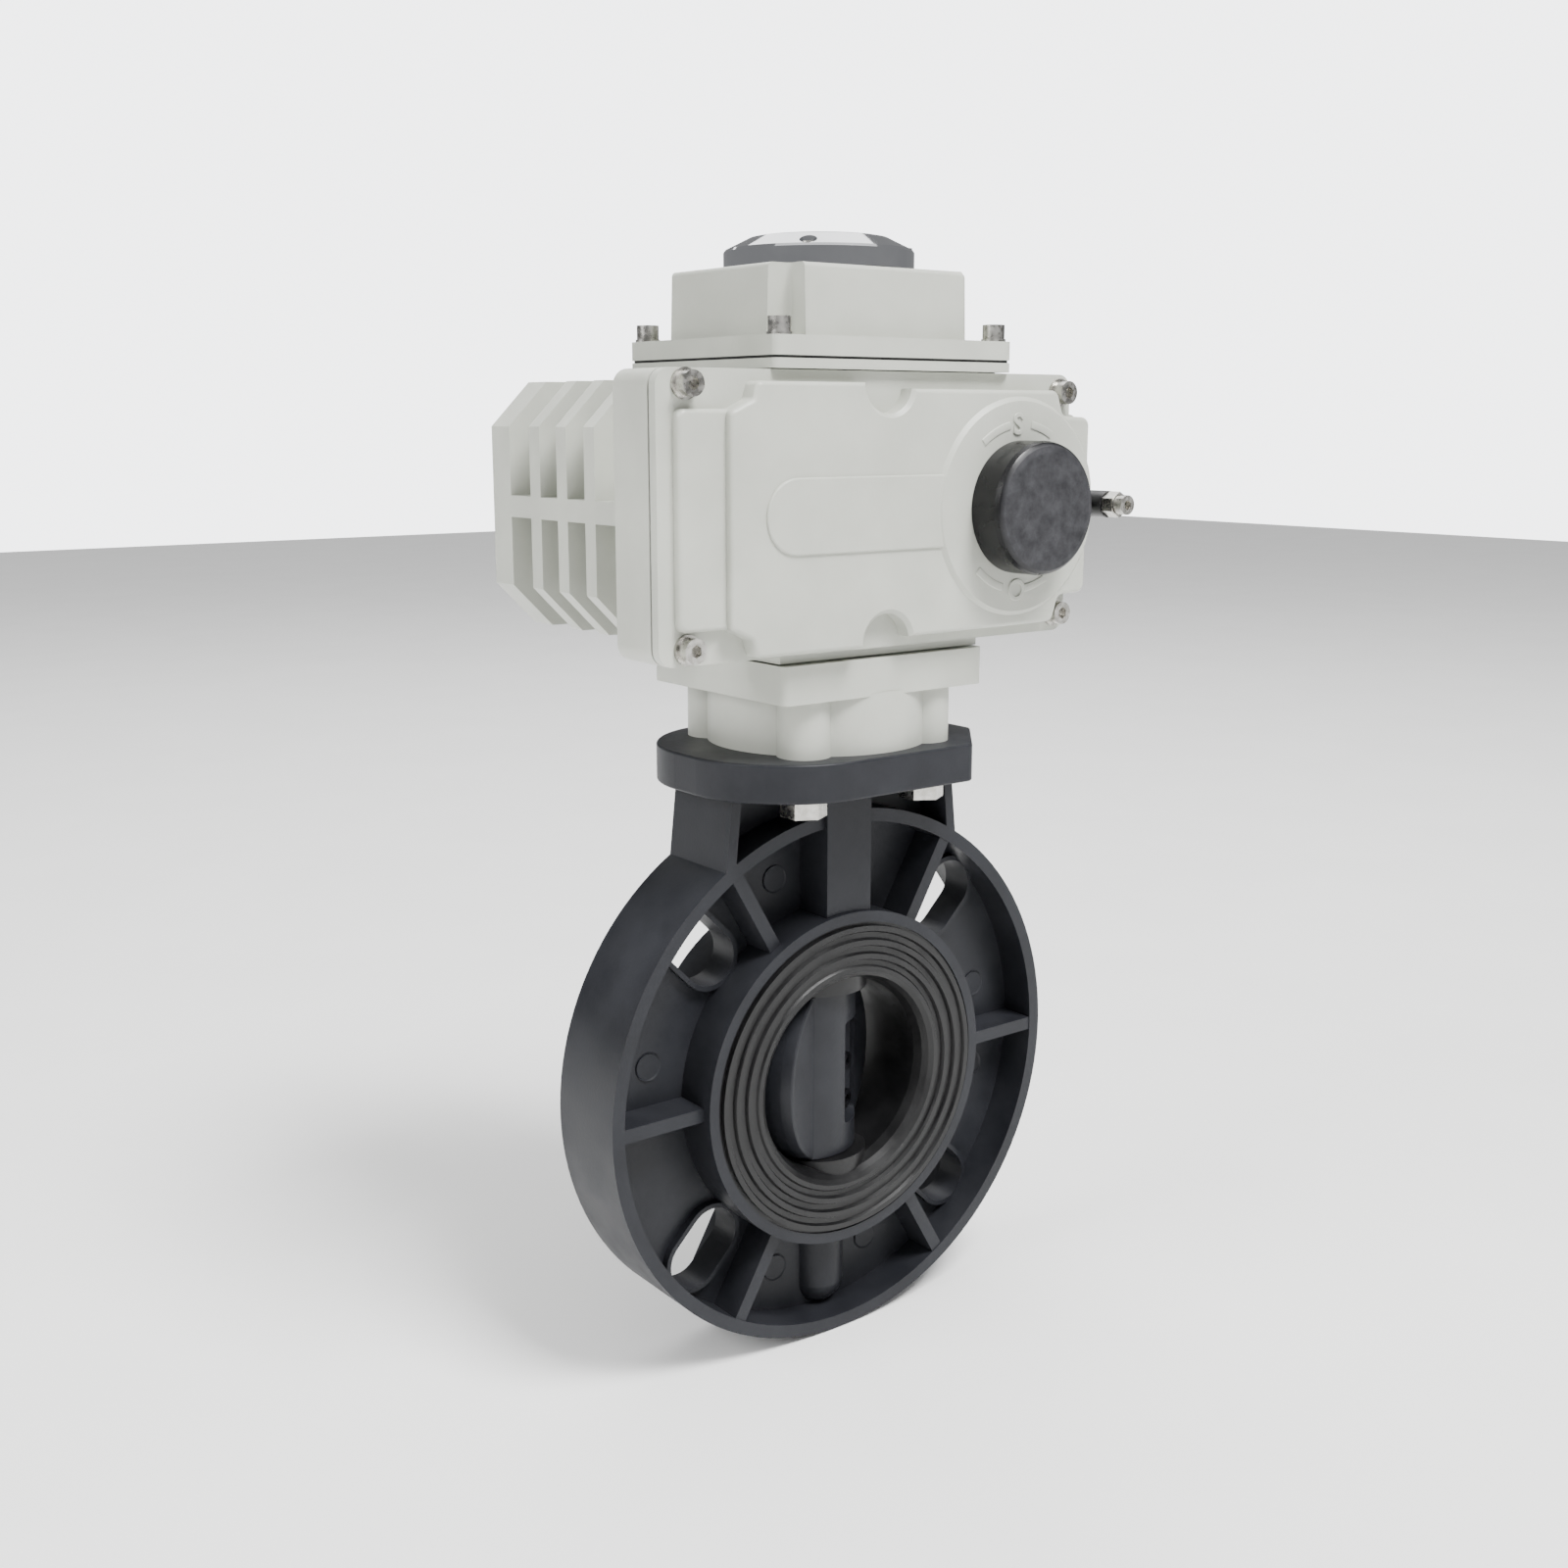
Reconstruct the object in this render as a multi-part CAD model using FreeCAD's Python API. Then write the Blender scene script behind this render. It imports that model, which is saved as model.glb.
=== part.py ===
# Motor-driven butterfly valve: a plastic wafer valve, DN65, with an electric
# quarter-turn actuator bolted to its ISO 5211 F07 head.
# Millimetres. Origin: pipe axis (Y) meets stem axis (Z). -Y is the cover side.
import FreeCAD, Part
import math
import os

V = FreeCAD.Vector
X, Y, Z = V(1, 0, 0), V(0, 1, 0), V(0, 0, 1)

# ---- valve ----
RIM_R, RIM_IN, RIM_HALF = 92.5, 88.0, 16.0
HUB_R, SEAT_R, HUB_HALF = 58.1, 54.4, 19.2
WEB_HALF, RIB_T = 3.0, 4.6
SLOT_R, SLOT_W, SLOT_L, PAD_HALF, PAD_WALL = 73.3, 18.8, 29.2, 5.8, 1.6
BORE_R, DISC_R = 33.6, 33.2
SEAT_FLAT = 29.4
HEAD_Z0, HEAD_Z1 = 102.5, 115.0
PCD_XY = 24.75
STEM_R, STEM_SQ = 6.0, 11.0
DISC_OPEN = 28.0

# ---- actuator ----
BASE_Z0, PLATE_Z0, PLATE_Z1 = 115.0, 133.5, 145.6
FRAME_X0, FRAME_X1, FRAME_Z0, FRAME_Z1 = -86.6, 80.0, 149.0, 233.0
FRAME_Y0, FRAME_Y1 = -33.0, -15.0
LUG_X1, SIDE_Z0, SIDE_Z1 = 76.6, 161.0, 220.2
CASE_X0, CASE_X1, CASE_Y1 = -46.7, 68.0, 39.5
DECK = (-46.7, 47.7, -39.5, 38.9)
DECK_Z = 236.2
PANEL_Y, STRIP_Y, FLANGE_Y = -43.2, -40.4, -37.0
NOTCH_X, NOTCH_Z, NOTCH_R = -6.0, (229.6, 150.9), 9.3
WORM_X, AXIS_Z = 47.6, 191.0
MOTOR_X, COVER_X = -35.2, -35.5
SLEEVE_R = 16.0
BASE_SCREW_X, BASE_SCREW_Y = 33.0, 20.5
TIE_XZ = 18.5
GLAND_R, GLAND_X, GLAND_Y, GLAND_Z = 4.5, 98.5, -24.0, 190.2

# ---- gears ----
WHEEL_M, WHEEL_T = 1.7, 40
WHEEL_R = WHEEL_M * WHEEL_T / 2
LEAD = math.pi * WHEEL_M
WORM_R = WORM_X - WHEEL_R
SPUR_M, PINION_T, IDLER_T, WORMGEAR_T = 1.0, 16, 48, 54
GEAR_Y0, GEAR_Y1 = -39.9, -36.7


def box(x0, x1, y0, y1, z0, z1):
    return Part.makeBox(x1 - x0, y1 - y0, z1 - z0, V(x0, y0, z0))


def cyl(r, at, axis, length):
    return Part.makeCylinder(r, length, V(*at), axis)


def ring(r1, r0, at, axis, length):
    return cyl(r1, at, axis, length).cut(cyl(r0, at, axis, length))


def fuse(shapes):
    return shapes[0].multiFuse(shapes[1:]).removeSplitter()


def prism(points, move):
    pts = [V(*p) for p in points]
    return Part.Face(Part.makePolygon(pts + [pts[0]])).extrude(move)


def revolve(points, axis):
    pts = [V(*p) for p in points]
    face = Part.Face(Part.makePolygon(pts + [pts[0]]))
    return face.revolve(V(0, 0, 0), axis, 360)


def along(edge, axis):
    """True for a straight edge that runs along the given axis."""
    if not isinstance(edge.Curve, Part.Line):
        return False
    return edge.Curve.Direction.cross(axis).Length < 1e-6


def soften(shape, axis, r):
    """Round the edges of a plain block that run along one axis."""
    return shape.makeFillet(r, [e for e in shape.Edges if along(e, axis)])


def hexagon(across, at, axis, length):
    r = across / math.sqrt(3)
    pts = []
    for k in range(6):
        a = math.radians(60 * k + 30)
        u, w = r * math.cos(a), r * math.sin(a)
        pts.append((at[0] + u, at[1] + w, at[2]) if axis == Z else (at[0] + u, at[1], at[2] + w))
    return prism(pts, axis * length)


def save(name, shapes):
    Part.makeCompound(shapes).exportStep("parts/" + name + ".step")


def polar(r, deg):
    a = math.radians(deg)
    return r * math.cos(a), r * math.sin(a)


# ------------------------------------------------------------------ valve body
def slot_shape(deg, extra, half):
    """Radial oblong block at the given angle, ready to add as pad or cut as slot."""
    w, run = SLOT_W / 2 + extra, (SLOT_L - SLOT_W) / 2
    bar = box(SLOT_R - run, SLOT_R + run, -half, half, -w, w)
    ends = [cyl(w, (SLOT_R + s * run, -half, 0), Y, 2 * half) for s in (-1, 1)]
    shape = fuse([bar] + ends)
    shape.rotate(V(0, 0, 0), Y, -deg)
    return shape


def neck_wall(side):
    pts = [(46.0, 103.0), (48.7, 78.6), (45.2, 76.4), (42.5, 103.0)]
    return prism([(side * x, -RIM_HALF, z) for x, z in pts], V(0, 2 * RIM_HALF, 0))


def head_flange():
    """Bolting plate of the valve: flat sides, round at the left end, cornered at the right."""
    pts = [(-32.0, -41.5), (32.0, -41.5), (52.8, -18.0), (52.8, 18.0), (32.0, 41.5), (-32.0, 41.5),
           (-53.3, 20.2), (-53.3, -20.2)]
    plate = prism([(x, y, HEAD_Z0) for x, y in pts], V(0, 0, HEAD_Z1 - HEAD_Z0))
    upright = [e for e in plate.Edges if along(e, Z)]
    plate = plate.makeFillet(34.0, [e for e in upright if e.CenterOfMass.x < 0])
    upright = [e for e in plate.Edges if along(e, Z) and e.CenterOfMass.x > 30]
    plate = plate.makeFillet(3.0, upright)
    return plate.makeFillet(0.8, [e for e in plate.Edges if e.BoundBox.ZLength < 0.01])


def valve_body():
    rim = ring(RIM_R, RIM_IN, (0, -RIM_HALF, 0), Y, 2 * RIM_HALF)
    web = ring(RIM_IN + 1, HUB_R - 1, (0, -WEB_HALF, 0), Y, 2 * WEB_HALF)
    hub = ring(HUB_R, SEAT_R, (0, -HUB_HALF, 0), Y, 2 * HUB_HALF)
    parts = [rim, web, hub, head_flange(), neck_wall(1), neck_wall(-1)]
    for k in range(6):
        rib = box(HUB_R - 1, RIM_IN + 1, -RIM_HALF + 0.3, RIM_HALF - 0.3, -RIB_T / 2, RIB_T / 2)
        rib.rotate(V(0, 0, 0), Y, 60 * k)
        parts.append(rib)
    pads = [slot_shape(d, PAD_WALL, PAD_HALF) for d in (45, 135, 225, 315)]
    inside = cyl(RIM_IN + 1, (0, -20, 0), Y, 40)
    parts += [p.common(inside) for p in pads]
    parts.append(box(-9.3, 9.3, -17.6, 17.6, HUB_R - 2, HEAD_Z0 + 1))
    parts.append(box(-44, 44, -WEB_HALF, WEB_HALF, 76, HEAD_Z0 + 1))
    parts.append(cyl(9.8, (0, 0, -80), Z, 24))
    parts.append(Part.makeSphere(9.8, V(0, 0, -79)))
    body = fuse(parts)
    cuts = [slot_shape(d, 0, 20) for d in (45, 135, 225, 315)]
    cuts += [cyl(7.4, (0, 0, 50), Z, 70), cyl(7.4, (0, 0, -80), Z, 30)]
    cuts += [cyl(SEAT_R, (0, -25, 0), Y, 50)]
    cuts += [cyl(4.5, (sx * PCD_XY, sy * PCD_XY, 100), Z, 20) for sx in (-1, 1) for sy in (-1, 1)]
    return body.cut(Part.makeCompound(cuts)).removeSplitter()


# ------------------------------------------------------------------- valve trim
def valve_seat():
    """Moulded rubber liner: lipped bore, four stepped ridges on each pipe face."""
    edge = [(SEAT_R, 18.6), (53.2, 18.6), (53.2, 20.2), (51.4, 20.2), (50.8, 19.2), (49.0, 19.2),
            (48.4, 20.4), (46.6, 20.4), (46.0, 19.2), (44.2, 19.2), (43.6, 20.3), (41.8, 20.3),
            (41.2, 19.0), (39.6, 19.0), (39.0, 19.7), (37.4, 19.7), (35.8, 18.6), (34.6, 16.4)]
    outline = edge + [(BORE_R, 13.0), (BORE_R, -13.0)] + [(r, -y) for r, y in reversed(edge)]
    seat = revolve([(r, y, 0) for r, y in outline], Y)
    liner = cyl(SEAT_R - 2, (0, -18, 0), Y, 36)
    boss = [cyl(17.5, (0, 0, SEAT_FLAT), Z, 12), cyl(17.5, (0, 0, -SEAT_FLAT - 12), Z, 12)]
    seat = fuse([seat] + [b.common(liner) for b in boss])
    return seat.cut(cyl(STEM_R + 0.3, (0, 0, -60), Z, 120))


def stem_bushes():
    upper = ring(7.4, STEM_R + 0.05, (0, 0, 56.0), Z, 58.6)
    lower = ring(7.4, STEM_R + 0.05, (0, 0, -79.5), Z, 24)
    return [upper, lower]


def stem():
    shaft = cyl(STEM_R, (0, 0, -78.0), Z, 194.0)
    key = box(-STEM_SQ / 2, STEM_SQ / 2, -STEM_SQ / 2, STEM_SQ / 2, 110, 131.5)
    key = key.common(cyl(7.3, (0, 0, 110), Z, 22))
    tip = shaft.fuse(key.common(box(-9, 9, -9, 9, 116, 132)))
    return [tip.removeSplitter()]


def disc():
    """Thick plastic vane that swells round the stem, with a pocket for the locking screws."""
    half, swell, back = 6.0, 20.5, 7.4
    plate = cyl(DISC_R, (0, -half, 0), Y, 2 * half)
    plate = plate.makeFillet(1.6, [e for e in plate.Edges if isinstance(e.Curve, Part.Circle)])
    front = cyl(swell, (0, back, -29), Z, 58).common(box(-30, 30, -30, 0, -30, 30))
    rear = cyl(swell, (0, -back, -29), Z, 58).common(box(-30, 30, 0, 30, -30, 30))
    vane = fuse([plate, front, rear]).common(Part.makeSphere(DISC_R + 0.05))
    flats = [cyl(18.2, (0, 0, 29.0), Z, 8), cyl(18.2, (0, 0, -37.0), Z, 8)]
    pocket = soften(box(-4.0, 11.5, -15, -8.0, -19, 17.5), Y, 1.5)
    vane = vane.cut(Part.makeCompound(flats + [pocket, cyl(STEM_R, (0, 0, -40), Z, 80)]))
    vane = vane.removeSplitter()
    vane.rotate(V(0, 0, 0), Z, DISC_OPEN)
    return [vane]


def disc_screws():
    screws = []
    for z in (1.0, -12.5):
        head = cyl(3.3, (3.2, -10.6, z), Y, 2.6)
        screw = head.cut(hexagon(2.8, (3.2, -10.7, z), Y, 1.6))
        screw.rotate(V(0, 0, 0), Z, DISC_OPEN)
        screws.append(screw)
    return screws


# ----------------------------------------------------------------- head to base
def flange_bolts():
    """M8 hexagon screws put in from under the valve head, each with a washer."""
    bolts = []
    for sx in (-1, 1):
        for sy in (-1, 1):
            x, y = sx * PCD_XY, sy * PCD_XY
            head = hexagon(13.0, (x, y, 95.6), Z, 5.3)
            washer = cyl(7.8, (x, y, 100.9), Z, 1.6)
            bolts.append(fuse([head, washer, cyl(3.95, (x, y, 100.9), Z, 27.5)]))
    return bolts


def mounting_base():
    collar = cyl(36.6, (0, 0, BASE_Z0), Z, PLATE_Z0 - BASE_Z0 + 1)
    parts = [collar, soften(box(-41, 41, -36, 36, PLATE_Z0, PLATE_Z1), Z, 2.5)]
    for sx in (-1, 1):
        for sy in (-1, 1):
            parts.append(cyl(8.6, (sx * PCD_XY, sy * PCD_XY, BASE_Z0), Z, 19.5))
    base = fuse(parts)
    cuts = [cyl(19.5, (0, 0, BASE_Z0), Z, 16.0), cyl(17.0, (0, 0, BASE_Z0), Z, 40)]
    for sx in (-1, 1):
        for sy in (-1, 1):
            cuts.append(cyl(4.0, (sx * PCD_XY, sy * PCD_XY, BASE_Z0), Z, 15))
            cuts.append(cyl(3.0, (sx * BASE_SCREW_X, sy * BASE_SCREW_Y, 135.5), Z, 12))
    return [base.cut(Part.makeCompound(cuts)).removeSplitter()]


def base_screws():
    screws = []
    for sx in (-1, 1):
        for sy in (-1, 1):
            x, y = sx * BASE_SCREW_X, sy * BASE_SCREW_Y
            head = cyl(5.0, (x, y, 153.5), Z, 6.0).cut(hexagon(5.0, (x, y, 156.5), Z, 4))
            screws.append(head.fuse(cyl(2.95, (x, y, 137.0), Z, 16.5)).removeSplitter())
    return screws


def output_bushes():
    lower = ring(19.5, SLEEVE_R + 0.05, (0, 0, 118.0), Z, 13.0)
    upper = ring(19.5, SLEEVE_R + 0.05, (0, 0, 146.4), Z, 7.1)
    return [lower, upper]


# --------------------------------------------------------------------- housing
def frame_screw_points():
    return [(-77.0, 228.6), (-77.0, 153.8), (71.3, 227.2), (71.3, 155.2)]


def flange_plate(y0, y1, inset):
    """Slice of the cover joint: stepped in at the right-hand corners, where the screws are."""
    x0, z0, z1 = FRAME_X0 + inset, FRAME_Z0 + inset, FRAME_Z1 - inset
    main = soften(box(x0, LUG_X1 - inset, y0, y1, z0, z1), Y, 5.0)
    side = soften(box(40.0, FRAME_X1 - inset, y0, y1, SIDE_Z0 + inset, SIDE_Z1 - inset), Y, 3.0)
    return main.fuse(side).removeSplitter()


def housing():
    frame = flange_plate(FRAME_Y0, FRAME_Y1, 0)
    case = soften(box(CASE_X0, CASE_X1, FRAME_Y1 - 4, CASE_Y1, FRAME_Z0 + 1, FRAME_Z1), Y, 3.0)
    deck = soften(box(DECK[0], DECK[1], DECK[2], DECK[3], 233.3, DECK_Z), Z, 2.5)
    join = box(DECK[0] + 1, DECK[1] - 1, FRAME_Y0 + 0.5, DECK[3] - 1, 232, 235)
    pad = soften(box(-40.4, 40.4, -35.2, 35.2, 146.1, 150), Z, 2.5)
    pad = pad.common(box(-50, 50, -33, 50, 140, 151))
    body = fuse([frame, case, deck, join, pad, box(-40, 40, -33, 35, 148, 152)])
    front = box(-80, 33, FRAME_Y0 - 1, -18, 158, 225)
    rear = box(-43.2, 64.5, -26, 36, 153.5, 229.5)
    mouth = soften(box(-36, 36, -29, 30, 224, 240), Z, 4)
    body = body.cut(Part.makeCompound([front, rear])).cut(mouth)
    body = body.fuse(ring(14.5, 11.0, (WORM_X, 28.5, AXIS_Z), Y, 8.5))
    body = body.fuse(cyl(28.2, (MOTOR_X, 32.0, AXIS_Z), Y, 7.5))
    cuts = [cyl(19.5, (0, 0, 140), Z, 20), cyl(11.0, (WORM_X, -34, AXIS_Z), Y, 9)]
    cuts += [cyl(9.0, (MOTOR_X, 30, AXIS_Z), Y, 12), cyl(5.0, (78.0, GLAND_Y, GLAND_Z), X, 4)]
    cuts += [cyl(3.2, (60.0, GLAND_Y, GLAND_Z), X, 20)]
    cuts += [cyl(2.5, (x, FRAME_Y0 - 1, z), Y, 14.5) for x, z in frame_screw_points()]
    for sx in (-1, 1):
        cuts += [cyl(3.0, (sx * BASE_SCREW_X, sy * BASE_SCREW_Y, 140), Z, 20) for sy in (-1, 1)]
    cuts += [cyl(2.0, (x, y, 233.4), Z, 5) for x, y in top_screw_points()]
    cuts += [cyl(2.0, (x, 31, z), Y, 12) for x, z in tie_points()]
    return [body.cut(Part.makeCompound(cuts)).removeSplitter()]


def front_gasket():
    pad = flange_plate(-33.8, -33.0, 0.5)
    cuts = [box(-79.5, 76.0, -35, -32, 158.5, 224.5)]
    cuts += [cyl(2.6, (x, -35, z), Y, 4) for x, z in frame_screw_points()]
    return [pad.cut(Part.makeCompound(cuts))]


# ------------------------------------------------------------------ front cover
def panel_outline():
    """Raised panel of the cover, going round; its four corners step in past the screws."""
    return [(-65.2, 159.2), (-57.5, 155.6), (-55.6, 150.2), (-16.0, 150.2), (4.0, 152.4), (65.4, 152.9),
            (68.4, 161.5), (80.3, 162.0), (80.3, 219.2), (68.0, 219.8), (65.2, 227.8), (4.0, 227.8),
            (-16.0, 229.5), (-55.5, 229.5), (-57.0, 224.4), (-65.2, 220.9)]


def rounded_front(shape, y, r):
    """Round the edges that lie in the front face at the given depth."""
    return shape.makeFillet(r, [e for e in shape.Edges if e.BoundBox.YMax < y + 0.01])


def cover_panel():
    panel = prism([(x, PANEL_Y, z) for x, z in panel_outline()], V(0, -36.0 - PANEL_Y, 0))
    for r, side in ((1.8, -1), (3.0, 1)):
        upright = [e for e in panel.Edges if along(e, Y)]
        panel = panel.makeFillet(r, [e for e in upright if side * e.CenterOfMass.x > 20])
    panel = rounded_front(panel, PANEL_Y, 1.4)
    notches = [cyl(NOTCH_R, (NOTCH_X, PANEL_Y - 1, z), Y, 10) for z in NOTCH_Z]
    mouths = [V(NOTCH_X, PANEL_Y - 0.1, z) for z in NOTCH_Z]
    flares = [Part.makeCone(NOTCH_R + 1.4, NOTCH_R, 1.3, at, Y) for at in mouths]
    return panel.cut(Part.makeCompound(notches)).cut(Part.makeCompound(flares))


def cover_platform():
    """Low racetrack that runs from the left half of the panel into the hand-drive boss."""
    mid, half = AXIS_Z - 0.2, 11.3
    bar = box(-41.7, 20.0, -44.0, -42.0, mid - half, mid + half)
    track = bar.fuse(cyl(half, (-41.7, -44.0, mid), Y, 2.0)).removeSplitter()
    boss = Part.makeCone(34.9, 33.4, 1.3, V(WORM_X, PANEL_Y + 0.1, AXIS_Z), V(0, -1, 0))
    return rounded_front(track, -44.0, 0.6).fuse(boss.common(box(0, 80.3, -50, -30, 140, 240)))


def front_cover():
    flange = flange_plate(FLANGE_Y, -33.8, 0)
    strip = soften(box(-81.0, -60.0, STRIP_Y, -36, 159.0, 221.7), Y, 2.5)
    spigot = ring(16.6, 8.0, (WORM_X, -52.5, AXIS_Z), Y, 12)
    cover = fuse([flange, cover_panel(), rounded_front(strip, STRIP_Y, 1.4), cover_platform(), spigot])
    hollow = [box(-62.0, 77.4, STRIP_Y, -33, 166, 216), box(-54.5, 64.0, STRIP_Y, -33, 157.5, 223.5)]
    keep = Part.makeCompound([cyl(NOTCH_R + 2.2, (NOTCH_X, -45, z), Y, 12) for z in NOTCH_Z])
    bores = [cyl(8.0, (WORM_X, -60, AXIS_Z), Y, 25)]
    bores += [cyl(2.8, (x, -45, z), Y, 14) for x, z in frame_screw_points()]
    bores += [cyl(5.2, (x, -48, z), Y, 48 + FLANGE_Y) for x, z in frame_screw_points()]
    bores += [cyl(3.0, (idler_x(), -42.0, idler_z()), Y, 4)]
    cover = cover.cut(fuse(hollow).cut(keep))
    return [cover.cut(Part.makeCompound(bores)).removeSplitter()]


def front_cover_screws():
    screws = []
    for x, z in frame_screw_points():
        head = cyl(3.7, (x, -42.0, z), Y, 4.2).cut(hexagon(3.4, (x, -42.1, z), Y, 2.6))
        washer = cyl(4.5, (x, -38.0, z), Y, 1.0)
        screws.append(fuse([head, washer, cyl(2.45, (x, -38.5, z), Y, 19)]))
    return screws


def manual_cap():
    """Rubber cap pushed over the spigot; it hides the hexagon of the hand drive."""
    rim = [(0, -58.0), (17.6, -58.0), (19.4, -57.5), (20.6, -56.3), (21.1, -54.6), (21.1, -44.5),
           (16.9, -44.5), (16.9, -54.6), (0, -54.6)]
    cap = revolve([(r, y, 0) for r, y in rim], Y)
    cap.translate(V(WORM_X, 0, AXIS_Z))
    return [cap]


# ------------------------------------------------------------------ gear shapes
def idler_angle():
    a = (PINION_T + IDLER_T) * SPUR_M / 2
    b = (IDLER_T + WORMGEAR_T) * SPUR_M / 2
    c = WORM_X - MOTOR_X
    return -math.degrees(math.acos((a * a + c * c - b * b) / (2 * a * c)))


def idler_x():
    return MOTOR_X + (PINION_T + IDLER_T) * SPUR_M / 2 * math.cos(math.radians(idler_angle()))


def idler_z():
    return AXIS_Z + (PINION_T + IDLER_T) * SPUR_M / 2 * math.sin(math.radians(idler_angle()))


def gear_points(teeth, m, phase):
    """Outline of a gear with slack, straight-sided teeth; one tooth at the phase angle."""
    pitch = 360.0 / teeth
    r = teeth * m / 2
    pts = []
    for k in range(teeth):
        mid = phase + k * pitch
        for radius, share in ((r - 1.2 * m, -0.31), (r + 0.85 * m, -0.10), (r + 0.85 * m, 0.10),
                              (r - 1.2 * m, 0.31)):
            pts.append(polar(radius, mid + share * pitch))
    return pts


def spur(teeth, phase, cx, cz, bore):
    pts = gear_points(teeth, SPUR_M, phase)
    gear = prism([(cx + u, GEAR_Y0, cz + w) for u, w in pts], V(0, GEAR_Y1 - GEAR_Y0, 0))
    return gear.cut(cyl(bore, (cx, GEAR_Y0 - 1, cz), Y, 6))


def idler_phase():
    """The idler shows a gap to the pinion, which shows it a tooth."""
    return idler_angle() + 180 + 180.0 / IDLER_T


def wormgear_phase():
    """Puts a gap of the worm-shaft gear where the idler shows a tooth."""
    line = math.degrees(math.atan2(AXIS_Z - idler_z(), WORM_X - idler_x()))
    pitch = 360.0 / IDLER_T
    lead = (idler_phase() - line) % pitch
    return line + 180 - lead * IDLER_T / WORMGEAR_T + 180.0 / WORMGEAR_T


def lighten(gear, cx, cz, r, hole, count):
    cuts = []
    for k in range(count):
        u, w = polar(r, 360.0 * k / count + 20)
        cuts.append(cyl(hole, (cx + u, GEAR_Y0 - 1, cz + w), Y, 6))
    return gear.cut(Part.makeCompound(cuts))


# ------------------------------------------------------------ drive train parts
def worm_wheel():
    """Bronze sector: teeth only over the arc that the quarter turn uses."""
    pts = gear_points(WHEEL_T, WHEEL_M, 180.0 / WHEEL_T)
    full = prism([(u, w, AXIS_Z - 4) for u, w in pts], V(0, 0, 8))
    arc = [polar(45, -72 + 110.0 * k / 6) for k in range(7)]
    wedge = prism([(0, 0, 180)] + [(u, w, 180) for u, w in arc], V(0, 0, 30))
    hub = cyl(19.0, (0, 0, AXIS_Z - 6), Z, 12)
    wheel = fuse([full.common(wedge), hub])
    return [wheel.cut(cyl(SLEEVE_R, (0, 0, 170), Z, 40))]


def output_sleeve():
    body = cyl(SLEEVE_R, (0, 0, 117.2), Z, 82.8)
    s = STEM_SQ / 2 + 0.05
    return [body.cut(box(-s, s, -s, s, 116, 134)).cut(cyl(5.0, (0, 0, 190), Z, 15))]


def worm_shaft():
    """Steel shaft along Y with one right-hand thread and a hexagon for the crank."""
    shaft = cyl(6.0, (WORM_X, -46.0, AXIS_Z), Y, 81.0)
    core = cyl(WORM_R - 1.9, (WORM_X, -19.0, AXIS_Z), Y, 38.0)
    crank = hexagon(9.0, (WORM_X, -53.2, AXIS_Z), Y, 8.0)
    root, crest = WORM_R - 2.3, WORM_R + 1.4
    wide, thin = 1.90, 0.56
    helix = Part.makeHelix(LEAD, 9 * LEAD, root)
    pts = [V(root, 0, -wide), V(crest, 0, -thin), V(crest, 0, thin), V(root, 0, wide)]
    profile = Part.makePolygon(pts + [pts[0]])
    thread = Part.Wire(helix.Edges).makePipeShell([profile], True, True)
    thread.rotate(V(0, 0, 0), X, -90)
    thread.translate(V(WORM_X, -4.5 * LEAD, AXIS_Z))
    thread = thread.common(cyl(crest + 1, (WORM_X, -18.8, AXIS_Z), Y, 37.6))
    return [fuse([shaft, core, crank]).fuse(thread)]


def worm_gear():
    gear = spur(WORMGEAR_T, wormgear_phase(), WORM_X, AXIS_Z, 6.0)
    return [lighten(gear, WORM_X, AXIS_Z, 16.0, 4.5, 6)]


def idler_gear():
    gear = spur(IDLER_T, idler_phase(), idler_x(), idler_z(), 3.05)
    return [lighten(gear, idler_x(), idler_z(), 13.5, 4.2, 6)]


def idler_pin():
    pin = cyl(3.0, (idler_x(), -42.0, idler_z()), Y, 5.9)
    clip = ring(5.0, 3.0, (idler_x(), -36.5, idler_z()), Y, 0.6)
    return [pin.fuse(clip).removeSplitter()]


def worm_bearings():
    return [ring(11.0, 6.05, (WORM_X, -33.0, AXIS_Z), Y, 7.0),
            ring(11.0, 6.05, (WORM_X, 28.5, AXIS_Z), Y, 6.0)]


# ------------------------------------------------------------------------ motor
def motor_shaft():
    shaft = cyl(4.0, (MOTOR_X, GEAR_Y0, AXIS_Z), Y, 115.9)
    pinion = spur(PINION_T, idler_angle(), MOTOR_X, AXIS_Z, 3.9)
    return [shaft.fuse(pinion).removeSplitter()]


def rotor():
    return [ring(16.5, 4.0, (MOTOR_X, 47.0, AXIS_Z), Y, 20.0)]


def stator():
    stack = ring(28.4, 17.0, (MOTOR_X, 46.0, AXIS_Z), Y, 22.0)
    return [stack.cut(Part.makeCompound([cyl(2.6, (x, 45, z), Y, 24) for x, z in tie_points()]))]


def windings():
    return [ring(23.8, 18.0, (MOTOR_X, 41.0, AXIS_Z), Y, 5.0),
            ring(23.8, 18.0, (MOTOR_X, 68.0, AXIS_Z), Y, 4.0)]


def motor_bearings():
    return [ring(9.0, 4.05, (MOTOR_X, 32.0, AXIS_Z), Y, 7.0),
            ring(9.0, 4.05, (MOTOR_X, 71.5, AXIS_Z), Y, 4.5)]


def pinion_bracket():
    plate = box(-55, -22.5, -23.5, -20.5, 162, 225)
    foot = box(-55, -43.0, -23.5, -20.5, 158, 163)
    neck = cyl(9.0, (MOTOR_X, -28.0, AXIS_Z), Y, 7.0)
    return [fuse([plate, foot, neck]).cut(cyl(4.05, (MOTOR_X, -30, AXIS_Z), Y, 12))]


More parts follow.
